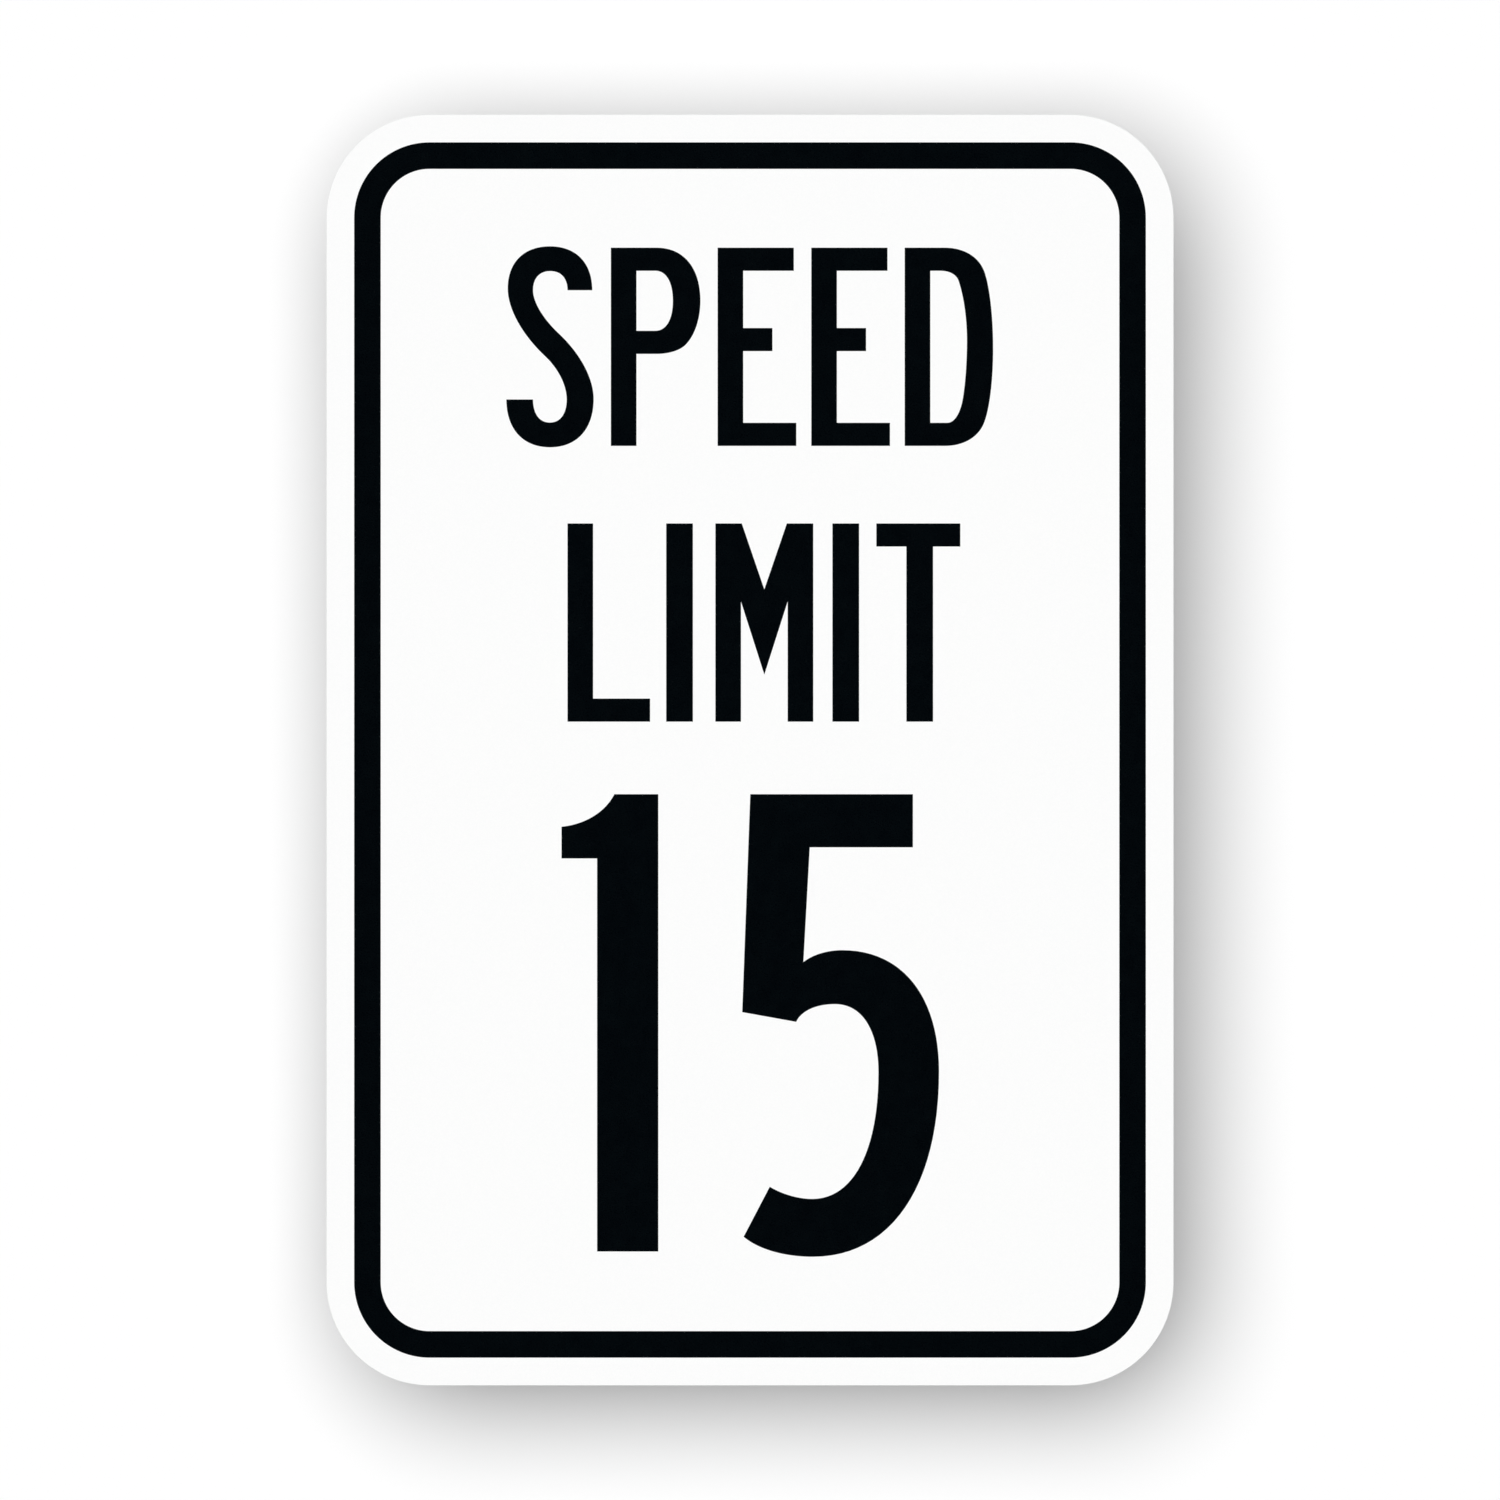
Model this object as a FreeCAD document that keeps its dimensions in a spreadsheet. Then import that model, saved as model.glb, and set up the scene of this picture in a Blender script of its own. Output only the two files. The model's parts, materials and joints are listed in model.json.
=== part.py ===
import FreeCAD, Part
import math
import os

import Sketcher

# Speed limit sign, portrait, for bolting flat against a post or a wall.
#
# The sign is a flat aluminium sheet with rounded corners. Its front carries a
# white reflective film, trimmed flush with the sheet's outline, and a black
# band is printed on the film, an even margin inside the outline all round.
#
# Frame: millimetres, X to the reader's right, Z up, and the front faces -Y.
# The origin is the centre of the back face, which goes against the post.

PARTS_FOLDER = "parts"
SHEET_NAME = "sizes"

# Driving dimensions: alias, millimetres, meaning.
SIZES = [
    ("panel_width", 304.8, "outline, left to right"),
    ("panel_height", 457.2, "outline, bottom to top"),
    ("corner_radius", 37.1, "rounded corners of the outline"),
    ("sheet_thickness", 1.6, "aluminium sheet"),
    ("edge_round", 0.3, "back rim, deburred after the blank is punched"),
    ("film_thickness", 0.15, "white reflective film with its adhesive"),
    ("border_margin", 10.0, "white margin between outline and band"),
    ("border_width", 9.55, "width of the black band"),
    ("print_thickness", 0.05, "layer of black print"),
]

# Corners of a rounded rectangle, counter-clockwise from the top right:
# the side of the centre line that each lies on, and its arc's first angle.
CORNERS = [(1, 1, 0), (-1, 1, 90), (-1, -1, 180), (1, -1, 270)]

# Sketcher's numbers for a curve's start, end and centre, and for the origin.
START = 1
END = 2
CENTRE = 3
ORIGIN = (-1, 1)


def make_sheet(doc):
    """Spreadsheet of the driving dimensions, one named cell for each."""
    sheet = doc.addObject("Spreadsheet::Sheet", SHEET_NAME)
    for row, (alias, value, meaning) in enumerate(SIZES, start=1):
        sheet.set(f"A{row}", meaning)
        sheet.set(f"B{row}", str(value))
        sheet.setAlias(f"B{row}", alias)
    doc.recompute()
    return sheet


def bind(sketch, constraint, name, formula):
    """Add a dimension to a sketch, name it and tie it to the spreadsheet."""
    index = sketch.addConstraint(constraint)
    sketch.renameConstraint(index, name)
    sketch.setExpression(f"Constraints.{name}", formula)


def draw_rounded_rectangle(sketch, sheet, name, insets):
    """Outline of the sign, or a line that runs inside it with an even gap all round.

    insets are the named sizes that add up to that gap. The corner arcs keep the
    centres of the sign's own, so each loses the gap from its radius.
    """
    gap = sum(sheet.get(inset) for inset in insets)
    half_w = sheet.get("panel_width") / 2 - gap
    half_h = sheet.get("panel_height") / 2 - gap
    r = sheet.get("corner_radius") - gap

    arcs = []
    for side_x, side_y, first_angle in CORNERS:
        centre = FreeCAD.Vector(side_x * (half_w - r), side_y * (half_h - r), 0)
        circle = Part.Circle(centre, FreeCAD.Vector(0, 0, 1), r)
        angles = [math.radians(first_angle), math.radians(first_angle + 90)]
        arcs.append(sketch.addGeometry(Part.ArcOfCircle(circle, *angles)))

    # Each side runs from the end of one corner's arc to the start of the next.
    sides = []
    for arc, next_arc in zip(arcs, arcs[1:] + arcs[:1]):
        ends = [sketch.getPoint(arc, END), sketch.getPoint(next_arc, START)]
        side = sketch.addGeometry(Part.LineSegment(*ends))
        sketch.addConstraint(Sketcher.Constraint("Tangent", arc, END, side, START))
        sketch.addConstraint(Sketcher.Constraint("Tangent", side, END, next_arc, START))
        sides.append(side)

    top, left, bottom, right = sides
    for side in (top, bottom):
        sketch.addConstraint(Sketcher.Constraint("Horizontal", side))
    for side in (left, right):
        sketch.addConstraint(Sketcher.Constraint("Vertical", side))
    for arc in arcs[1:]:
        sketch.addConstraint(Sketcher.Constraint("Equal", arcs[0], arc))
    opposite = (arcs[0], CENTRE, arcs[2], CENTRE)
    sketch.addConstraint(Sketcher.Constraint("Symmetric", *opposite, *ORIGIN))

    across = Sketcher.Constraint("DistanceX", left, START, right, START, 2 * half_w)
    upward = Sketcher.Constraint("DistanceY", bottom, START, top, START, 2 * half_h)
    both_sides = "".join(f" - 2 * sizes.{inset}" for inset in insets)
    one_side = "".join(f" - sizes.{inset}" for inset in insets)
    bind(sketch, across, f"{name}_width", f"sizes.panel_width{both_sides}")
    bind(sketch, upward, f"{name}_height", f"sizes.panel_height{both_sides}")
    radius = Sketcher.Constraint("Radius", arcs[0], r)
    bind(sketch, radius, f"{name}_radius", f"sizes.corner_radius{one_side}")


def make_body(doc, label, seat):
    """Empty body of one sub-part. seat is how far in front of the back face it starts."""
    body = doc.addObject("PartDesign::Body", label)
    body.Label = label
    body.setExpression("Placement.Base.y", f"-({seat})")
    return body


def add_upright_sketch(body, name):
    """Sketch on the body's own XZ plane. It faces -Y, as the sign's front does."""
    sketch = body.newObject("Sketcher::SketchObject", name)
    plane = next(f for f in body.Origin.OriginFeatures if f.Role == "XZ_Plane")
    sketch.AttachmentSupport = [(plane, "")]
    sketch.MapMode = "FlatFace"
    return sketch


def add_pad(body, sketch, name, thickness):
    """Pad a sketch forwards by a formula's length."""
    pad = body.newObject("PartDesign::Pad", name)
    pad.Profile = sketch
    pad.setExpression("Length", thickness)
    sketch.Visibility = False
    return pad


def make_blank(doc, sheet):
    """Aluminium sheet with rounded corners and a deburred rim at its back."""
    body = make_body(doc, "sign_blank", "0")
    outline = add_upright_sketch(body, "blank_outline")
    draw_rounded_rectangle(outline, sheet, "blank", [])
    pad = add_pad(body, outline, "blank_pad", "sizes.sheet_thickness")
    doc.recompute()

    back_rim = [
        f"Edge{number}"
        for number, edge in enumerate(pad.Shape.Edges, start=1)
        if edge.BoundBox.YMin > -Part.Precision.confusion()
    ]
    fillet = body.newObject("PartDesign::Fillet", "back_rim_round")
    fillet.Base = (pad, back_rim)
    fillet.setExpression("Radius", "sizes.edge_round")
    return body


def make_film(doc, sheet):
    """White reflective film on the blank's front, flush with its outline."""
    body = make_body(doc, "white_film", "sizes.sheet_thickness")
    outline = add_upright_sketch(body, "film_outline")
    draw_rounded_rectangle(outline, sheet, "film", [])
    add_pad(body, outline, "film_pad", "sizes.film_thickness")
    return body


def make_border(doc, sheet):
    """Black band printed on the film. Its corner arcs share the blank's centres."""
    body = make_body(doc, "black_border", "sizes.sheet_thickness + sizes.film_thickness")
    band = add_upright_sketch(body, "border_band")
    draw_rounded_rectangle(band, sheet, "outer", ["border_margin"])
    draw_rounded_rectangle(band, sheet, "inner", ["border_margin", "border_width"])
    add_pad(body, band, "border_pad", "sizes.print_thickness")
    return body


def check(doc, bodies):
    """Stop unless every object computed and every sub-part is a valid solid."""
    for item in doc.Objects:
        if "Invalid" in item.State or "Error" in item.State:
            raise RuntimeError(f"{item.Label} did not compute: {item.State}")
    for body in bodies:
        shape = body.Shape
        if shape.isNull() or not shape.isValid() or len(shape.Solids) != 1:
            raise RuntimeError(f"{body.Label} is not one valid solid")


def main():
    doc = FreeCAD.newDocument("speed_limit_sign")
    sheet = make_sheet(doc)
    bodies = [make_blank(doc, sheet), make_film(doc, sheet), make_border(doc, sheet)]
    doc.recompute()
    check(doc, bodies)
    os.makedirs(PARTS_FOLDER, exist_ok=True)
    for body in bodies:
        body.Shape.exportStep(os.path.join(PARTS_FOLDER, f"{body.Label}.step"))
        box = body.Shape.optimalBoundingBox(False)
        size = [round(length, 3) for length in (box.XLength, box.YLength, box.ZLength)]
        print(body.Label, size, "mm", round(body.Shape.Volume, 1), "mm3")


main()
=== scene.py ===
"""Looks of a speed limit sign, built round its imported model.

The sign is a punched aluminium sheet with rounded corners. Its front carries a
white reflective film, trimmed flush with the sheet, and a border and a legend
are printed on the film in black.

Lengths are in metres, apart from the letters, which are drawn in millimetres.
X runs to the reader's right and Z up, and the front faces -Y. The origin is
the centre of the back face.
"""

import json
import logging
import math
from abc import ABC, abstractmethod
from collections.abc import Sequence
from dataclasses import dataclass, field
from enum import Enum
from typing import Any

import bpy
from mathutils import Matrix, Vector

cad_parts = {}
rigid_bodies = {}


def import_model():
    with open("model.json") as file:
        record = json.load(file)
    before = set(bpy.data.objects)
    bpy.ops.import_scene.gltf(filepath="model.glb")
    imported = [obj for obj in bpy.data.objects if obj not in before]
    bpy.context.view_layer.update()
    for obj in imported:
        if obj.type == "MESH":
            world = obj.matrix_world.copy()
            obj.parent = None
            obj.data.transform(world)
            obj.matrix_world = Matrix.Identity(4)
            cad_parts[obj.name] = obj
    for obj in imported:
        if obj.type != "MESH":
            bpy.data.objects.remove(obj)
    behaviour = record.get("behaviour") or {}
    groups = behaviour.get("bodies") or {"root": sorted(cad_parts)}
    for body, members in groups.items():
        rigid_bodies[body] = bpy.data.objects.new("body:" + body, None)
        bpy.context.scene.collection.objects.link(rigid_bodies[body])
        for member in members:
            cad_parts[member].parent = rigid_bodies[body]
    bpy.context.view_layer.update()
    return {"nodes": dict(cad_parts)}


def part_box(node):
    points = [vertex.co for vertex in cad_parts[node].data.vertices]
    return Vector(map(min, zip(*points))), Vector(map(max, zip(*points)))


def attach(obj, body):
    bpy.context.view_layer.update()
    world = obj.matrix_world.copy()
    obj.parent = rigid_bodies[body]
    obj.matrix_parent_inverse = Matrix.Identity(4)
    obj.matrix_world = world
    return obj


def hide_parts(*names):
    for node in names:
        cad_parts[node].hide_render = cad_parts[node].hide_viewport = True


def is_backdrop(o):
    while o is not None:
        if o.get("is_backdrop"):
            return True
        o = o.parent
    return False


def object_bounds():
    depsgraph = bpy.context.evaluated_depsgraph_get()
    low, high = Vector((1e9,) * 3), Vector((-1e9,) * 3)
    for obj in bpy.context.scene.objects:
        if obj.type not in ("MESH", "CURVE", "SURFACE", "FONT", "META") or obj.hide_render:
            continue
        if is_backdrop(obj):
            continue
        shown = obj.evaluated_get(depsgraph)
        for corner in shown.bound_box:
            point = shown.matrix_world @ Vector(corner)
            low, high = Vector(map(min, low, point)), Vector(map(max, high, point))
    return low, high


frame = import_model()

log = logging.getLogger("speed_limit_sign")

MM = 0.001
MICRON = 0.000001

# Places closer together than TOUCH line up. A face belongs to the sign's flat
# front or back, and not to a rim, where its normal has FLAT or more along Y.
TOUCH = 2 * MICRON
FLAT = 0.99

# Turned by this, what is drawn flat stands up and faces -Y, and a camera looks along +Y.
UPRIGHT = (math.radians(90), 0.0, 0.0)

Point = tuple[float, float]
Size = tuple[float, float, float]
Colour = tuple[float, float, float, float]
Inputs = dict[str | int, Any]


class PackedNode(Enum):
    """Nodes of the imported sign, back to front."""

    BLANK = "sign_blank"
    FILM = "white_film"
    BORDER = "black_border"


class Slot(Enum):
    """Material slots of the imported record."""

    ALUMINIUM = "bare_aluminium"
    FILM = "white_reflective_film"
    PRINT = "black_print"


# Letters, drawn in millimetres: x from the letter's left edge, z from its foot.


@dataclass
class Knot:
    """Point of an outline, with the handles of the round stretches that meet there.

    A side without a handle is straight.
    """

    at: Point
    before: Point | None = None
    after: Point | None = None


class Pen:
    """Draws one closed outline, from knot to knot.

    FULLNESS is how far each handle of a round stretch reaches towards the
    corner that the stretch cuts off.
    """

    FULLNESS = 0.62

    def __init__(self, x: float, z: float) -> None:
        """Start at a point, x to the reader's right and z up."""
        self.knots = [Knot((x, z))]

    def line(self, *points: Point) -> "Pen":
        """Go on in straight lines from point to point, and give back the pen."""
        self.knots += [Knot(point) for point in points]
        return self

    def round(self, *points: Point) -> "Pen":
        """Go on in round stretches, each of which cuts off one corner.

        Args:
            points: the corners that are cut off, then the point to end at.
                Between two corners the pen touches their side half-way.

        Returns:
            The pen.
        """
        *corners, end = points
        touches = [half_way(one, other) for one, other in zip(corners, corners[1:])]
        for corner, touch in zip(corners, [*touches, end]):
            last = self.knots[-1]
            last.after = self._handle(last.at, corner)
            self.knots.append(Knot(touch, before=self._handle(touch, corner)))
        return self

    def _handle(self, start: Point, corner: Point) -> Point:
        """Point part of the way from a knot to the corner that is cut off."""
        return tuple(a + (b - a) * self.FULLNESS for a, b in zip(start, corner))


def half_way(one: Point, other: Point) -> Point:
    """Point half-way between two points."""
    return ((one[0] + other[0]) / 2, (one[1] + other[1]) / 2)


@dataclass(frozen=True)
class Strokes:
    """Sizes that the letters of one line share.

    upright and level are the widths of the strokes that run so. overshoot is how
    far a round letter reaches past the tops and feet of the others.
    """

    height: float
    upright: float
    level: float
    overshoot: float

    @property
    def upper(self) -> float:
        """Underside of a level stroke at the top of a letter."""
        return self.height - self.level


class Letter(ABC):
    """One letter or figure. Its fields are its sizes in millimetres.

    A bulge is the height at which a round side reaches furthest out, and a
    hollow is what a round stroke bends round.
    """

    width: float

    @abstractmethod
    def outlines(self, strokes: Strokes) -> list[Pen]:
        """Draw the letter.

        Args:
            strokes: sizes that the line's letters share.

        Returns:
            Its outlines. One that lies inside another is a hole.
        """


@dataclass(frozen=True)
class LetterI(Letter):
    """I, a single upright stroke, a little wider than that of the other letters."""

    width: float = 9.6

    def outlines(self, strokes: Strokes) -> list[Pen]:
        """Draw the letter, as high as its line's strokes say."""
        top = strokes.height
        return [Pen(0, 0).line((self.width, 0), (self.width, top), (0, top))]


@dataclass(frozen=True)
class LetterL(Letter):
    """L, an upright with a foot."""

    width: float = 29.7

    def outlines(self, strokes: Strokes) -> list[Pen]:
        """Draw the letter.

        Args:
            strokes: sizes that the line's letters share.

        Returns:
            Its outlines.
        """
        stem, bar, top = strokes.upright, strokes.level, strokes.height
        pen = Pen(0, 0).line((self.width, 0), (self.width, bar), (stem, bar))
        return [pen.line((stem, top), (0, top))]


@dataclass(frozen=True)
class LetterT(Letter):
    """T, a bar on an upright."""

    width: float = 30.2
    stem: float = 9.6
    stem_left: float = 10.8

    def outlines(self, strokes: Strokes) -> list[Pen]:
        """Draw the letter.

        Args:
            strokes: sizes that the line's letters share.

        Returns:
            Its outlines.
        """
        left, right = self.stem_left, self.stem_left + self.stem
        top, under = strokes.height, strokes.upper
        pen = Pen(left, 0).line((right, 0), (right, under), (self.width, under))
        return [pen.line((self.width, top), (0, top), (0, under), (left, under))]


@dataclass(frozen=True)
class LetterE(Letter):
    """E, with a longer foot and a short middle arm."""

    width: float = 28.3
    top_arm: float = 27.4
    middle_arm: float = 19.7
    middle: float = 34.1

    def outlines(self, strokes: Strokes) -> list[Pen]:
        """Draw the letter.

        Args:
            strokes: sizes that the line's letters share.

        Returns:
            Its outlines.
        """
        stem, bar = strokes.upright, strokes.level
        top, under, middle = strokes.height, strokes.upper, self.middle
        pen = Pen(0, 0).line((self.width, 0), (self.width, bar), (stem, bar))
        pen.line((stem, middle), (self.middle_arm, middle))
        pen.line((self.middle_arm, middle + bar), (stem, middle + bar))
        pen.line((stem, under), (self.top_arm, under), (self.top_arm, top), (0, top))
        return [pen]


@dataclass(frozen=True)
class LetterM(Letter):
    """M, whose two slanting strokes meet in a point above its foot."""

    width: float = 35.2
    shoulder: float = 9.5
    valley: float = 47.6
    armpit: float = 43.2
    point: float = 16.9

    def outlines(self, strokes: Strokes) -> list[Pen]:
        """Draw the letter.

        Args:
            strokes: sizes that the line's letters share.

        Returns:
            Its outlines.
        """
        stem, top, middle = strokes.upright, strokes.height, self.width / 2
        pen = Pen(0, 0).line((stem, 0), (stem, self.armpit), (middle, self.point))
        pen.line((self.width - stem, self.armpit), (self.width - stem, 0))
        pen.line((self.width, 0), (self.width, top), (self.width - self.shoulder, top))
        return [pen.line((middle, self.valley), (self.shoulder, top), (0, top))]


@dataclass(frozen=True)
class LetterS(Letter):
    """S, whose head is narrower than its foot. Both ends are cut off level."""

    width: float = 31.4
    head_left: float = 0.5
    head_right: float = 30.9
    head_cut: float = 56.0
    foot_cut: float = 16.7
    head_bulge: float = 56.6
    foot_bulge: float = 16.9
    hollow_left: float = 9.6
    head_hollow_right: float = 22.0
    foot_hollow_right: float = 21.7
    curve: float = 8.9
    waist_left: Point = (13.9, 32.3)
    waist_right: Point = (19.0, 40.3)
    waist_slant: float = 0.94

    def outlines(self, strokes: Strokes) -> list[Pen]:
        """Draw the letter.

        Args:
            strokes: sizes that the line's letters share.

        Returns:
            Its outlines.
        """
        top, foot = strokes.height + strokes.overshoot, -strokes.overshoot
        under, over = top - self.curve, foot + self.curve
        pen = Pen(self.head_right, self.head_cut)
        pen.round(
            (self.head_right, top),
            (self.head_left, top),
            (self.head_left, self.head_bulge),
        )
        pen.round(self._waist(self.waist_left, self.head_left), self.waist_left)
        pen.round(
            self._waist(self.waist_left, self.foot_hollow_right),
            (self.foot_hollow_right, over),
            (self.hollow_left, over),
            (self.hollow_left, self.foot_cut),
        )
        pen.line((0, self.foot_cut))
        pen.round((0, foot), (self.width, foot), (self.width, self.foot_bulge))
        pen.round(self._waist(self.waist_right, self.width), self.waist_right)
        pen.round(
            self._waist(self.waist_right, self.hollow_left),
            (self.hollow_left, under),
            (self.head_hollow_right, under),
            (self.head_hollow_right, self.head_cut),
        )
        return [pen]

    def _waist(self, knot: Point, x: float) -> Point:
        """Point at x on the slanting line through a knot of the waist."""
        return (x, knot[1] + (knot[0] - x) * self.waist_slant)


@dataclass(frozen=True)
class LetterP(Letter):
    """P, an upright with a closed bowl."""

    width: float = 32.2
    bowl_foot: float = 33.1
    bowl_bulge: float = 52.2
    bowl_start: float = 16.5
    shoulder: Point = (27.0, 36.5)
    shoulder_slant: float = 1.04
    hole_right: float = 22.3
    hole_start: float = 16.0

    def outlines(self, strokes: Strokes) -> list[Pen]:
        """Draw the letter.

        Args:
            strokes: sizes that the line's letters share.

        Returns:
            Its outlines.
        """
        stem, top, foot = strokes.upright, strokes.height, self.bowl_foot
        x, z = self.shoulder
        above = (self.width, z + (self.width - x) * self.shoulder_slant)
        below = (x - (z - foot) / self.shoulder_slant, foot)
        pen = Pen(0, 0).line((0, top), (self.bowl_start, top))
        pen.round((self.width, top), (self.width, self.bowl_bulge))
        pen.round(above, self.shoulder).round(below, (self.bowl_start, foot))
        pen.line((stem, foot), (stem, 0))

        low, high = foot + strokes.level, strokes.upper
        hole = Pen(stem, low).line((self.hole_start, low))
        hole.round((self.hole_right, low), (self.hole_right, high), (self.hole_start, high))
        return [pen, hole.line((stem, high))]


@dataclass(frozen=True)
class LetterD(Letter):
    """D, whose side bulges gently between two tight shoulders."""

    width: float = 31.8
    side_start: float = 14.5
    head_corner: float = 25.9
    foot_corner: float = 25.4
    side_top: float = 53.0
    side_foot: float = 16.8
    hole_right: float = 22.4
    hole_head_corner: float = 18.2
    hole_foot_corner: float = 19.4
    hole_side_top: float = 50.4
    hole_side_foot: float = 25.6
    hole_shoulder: Point = (19.4, 59.3)
    hole_head_start: float = 12.9
    hole_foot_start: float = 15.3

    def outlines(self, strokes: Strokes) -> list[Pen]:
        """Draw the letter.

        Args:
            strokes: sizes that the line's letters share.

        Returns:
            Its outlines.
        """
        stem, top = strokes.upright, strokes.height
        pen = Pen(0, 0).line((0, top), (self.side_start, top))
        pen.round(
            (self.head_corner, top),
            (self.width, self.side_top),
            (self.width, self.side_foot),
            (self.foot_corner, 0),
            (self.side_start, 0),
        )

        low, high = strokes.level, strokes.upper
        hole = Pen(stem, low).line((self.hole_foot_start, low))
        hole.round(
            (self.hole_foot_corner, low),
            (self.hole_right, self.hole_side_foot),
            (self.hole_right, self.hole_side_top),
            self.hole_shoulder,
        )
        hole.round((self.hole_head_corner, high), (self.hole_head_start, high))
        return [pen, hole.line((stem, high))]


@dataclass(frozen=True)
class FigureOne(Letter):
    """1, an upright with a flag whose top is hollowed."""

    width: float = 34.8
    flag_foot: float = 141.4
    flag_tip: float = 152.8
    flag_end: float = 19.0
    flag_hollow: Point = (13.8, 154.2)

    def outlines(self, strokes: Strokes) -> list[Pen]:
        """Draw the figure.

        Args:
            strokes: sizes that the line's letters share.

        Returns:
            Its outlines.
        """
        left, top = self.width - strokes.upright, strokes.height
        pen = Pen(left, 0).line((self.width, 0), (self.width, top), (self.flag_end, top))
        pen.round(self.flag_hollow, (0, self.flag_tip))
        return [pen.line((0, self.flag_foot), (left, self.flag_foot))]


@dataclass(frozen=True)
class FigureFive(Letter):
    """5, a bar and a slanting neck over a tall open bowl."""

    width: float = 70.8
    bar_left: float = 2.9
    bar_right: float = 61.4
    neck_right: float = 24.3
    neck_foot: Point = (22.0, 104.1)
    chin_left: float = 86.1
    chin_right: Point = (19.4, 82.6)
    bowl_top: float = 108.4
    bowl_crown: float = 36.0
    bowl_bulge: float = 64.7
    bowl_keel: float = 25.4
    bowl_rise: float = 27.3
    tail_outside: Point = (0.5, 5.3)
    tail_inside: Point = (9.9, 23.3)
    tail_fall: float = 8.9
    hollow_fall: float = 17.2
    hollow_keel: float = 25.2
    hollow_foot: float = 18.9
    hollow_right: float = 49.0
    hollow_bulge: float = 64.5
    hollow_top: float = 89.0
    hollow_crown: float = 33.4
    hollow_rise: float = 22.4

    def outlines(self, strokes: Strokes) -> list[Pen]:
        """Draw the figure.

        Args:
            strokes: sizes that the line's letters share.

        Returns:
            Its outlines.
        """
        top, under, foot = strokes.height, strokes.upper, -strokes.overshoot
        pen = Pen(self.bar_left, top).line((self.bar_right, top), (self.bar_right, under))
        pen.line((self.neck_right, under), self.neck_foot)
        pen.round((self.bowl_rise, self.bowl_top), (self.bowl_crown, self.bowl_top))
        pen.round((self.width, self.bowl_top), (self.width, self.bowl_bulge))
        pen.round((self.width, foot), (self.bowl_keel, foot))
        pen.round((self.tail_fall, foot), self.tail_outside).line(self.tail_inside)
        pen.round((self.hollow_fall, self.hollow_foot), (self.hollow_keel, self.hollow_foot))
        pen.round((self.hollow_right, self.hollow_foot), (self.hollow_right, self.hollow_bulge))
        pen.round((self.hollow_right, self.hollow_top), (self.hollow_crown, self.hollow_top))
        pen.round((self.hollow_rise, self.hollow_top), self.chin_right)
        return [pen.line((0, self.chin_left))]


@dataclass(frozen=True)
class LegendLine:
    """One line of the legend, in millimetres.

    gaps lie between its letters. foot is the height of their feet above the sign's
    centre, and shift is how far to the reader's right of it the line's middle lies.
    """

    piece: str
    letters: tuple[Letter, ...]
    gaps: tuple[float, ...]
    strokes: Strokes
    foot: float
    shift: float

    def placed_pens(self) -> list[tuple[Pen, float]]:
        """Set the letters side by side.

        Returns:
            Each outline, with the place of its letter's left edge.
        """
        width = sum(letter.width for letter in self.letters) + sum(self.gaps)
        left = self.shift - width / 2
        placed: list[tuple[Pen, float]] = []
        for letter, gap in zip(self.letters, (*self.gaps, 0.0)):
            placed += [(pen, left) for pen in letter.outlines(self.strokes)]
            left += letter.width + gap
        return placed

    def draw(self, steps: int) -> bpy.types.Curve:
        """Draw the line flat, in metres, with X to the right and Y up.

        Args:
            steps: straight pieces that stand for each round stretch.

        Returns:
            The curve, with one closed spline for each outline.
        """
        curve = bpy.data.curves.new(self.piece, "CURVE")
        curve.dimensions = "2D"
        curve.fill_mode = "NONE"
        curve.resolution_u = steps
        for pen, left in self.placed_pens():
            spline = curve.splines.new("BEZIER")
            spline.bezier_points.add(len(pen.knots) - 1)
            spline.use_cyclic_u = True
            for point, knot in zip(spline.bezier_points, pen.knots):
                point.co = self._in_metres(knot.at, left)
                for side, handle in (("left", knot.before), ("right", knot.after)):
                    setattr(point, f"handle_{side}_type", "VECTOR" if handle is None else "FREE")
                    if handle is not None:
                        setattr(point, f"handle_{side}", self._in_metres(handle, left))
        return curve

    def _in_metres(self, point: Point, left: float) -> Vector:
        """Place of a letter's point on the sign."""
        return Vector((left + point[0], self.foot + point[1], 0.0)) * MM


# Sizes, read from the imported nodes.


def places(node: PackedNode) -> list[Vector]:
    """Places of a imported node's vertices."""
    return [vertex.co for vertex in frame["nodes"][node.value].data.vertices]


@dataclass(frozen=True)
class Outline:
    """Upright rectangle with rounded corners, centred on the sign."""

    SIZES = ("Width", "Height", "Radius")

    width: float
    height: float
    radius: float

    def inputs(self) -> dict[str, float]:
        """Its sizes, as a node group's inputs."""
        return dict(zip(self.SIZES, (self.width, self.height, self.radius)))


@dataclass(frozen=True)
class Layer:
    """Flat layer of the sign. seat is how far in front of the back face it starts."""

    SIZES = ("Seat", "Thickness")

    outline: Outline
    seat: float
    thickness: float

    @classmethod
    def measured(cls, node: PackedNode) -> "Layer":
        """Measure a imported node.

        Args:
            node: the node.

        Returns:
            Its sizes. The corner radius is what the straight top edge lacks.
        """
        low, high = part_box(node.value)
        straight = max(abs(place.x) for place in places(node) if high.z - place.z < TOUCH)
        outline = Outline(high.x - low.x, high.z - low.z, high.x - straight)
        return cls(outline, -high.y, high.y - low.y)

    def inputs(self) -> dict[str, float]:
        """Its place in depth, as a tree's inputs."""
        return dict(zip(self.SIZES, (self.seat, self.thickness)))


def band_width(node: PackedNode) -> float:
    """Measure a band where its upright sides end, inside and outside.

    Args:
        node: the band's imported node.

    Returns:
        Its width.
    """
    nearest = min(abs(place.z) for place in places(node))
    sides = [abs(place.x) for place in places(node) if abs(place.z) - nearest < TOUCH]
    return max(sides) - min(sides)


# Node trees.


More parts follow.
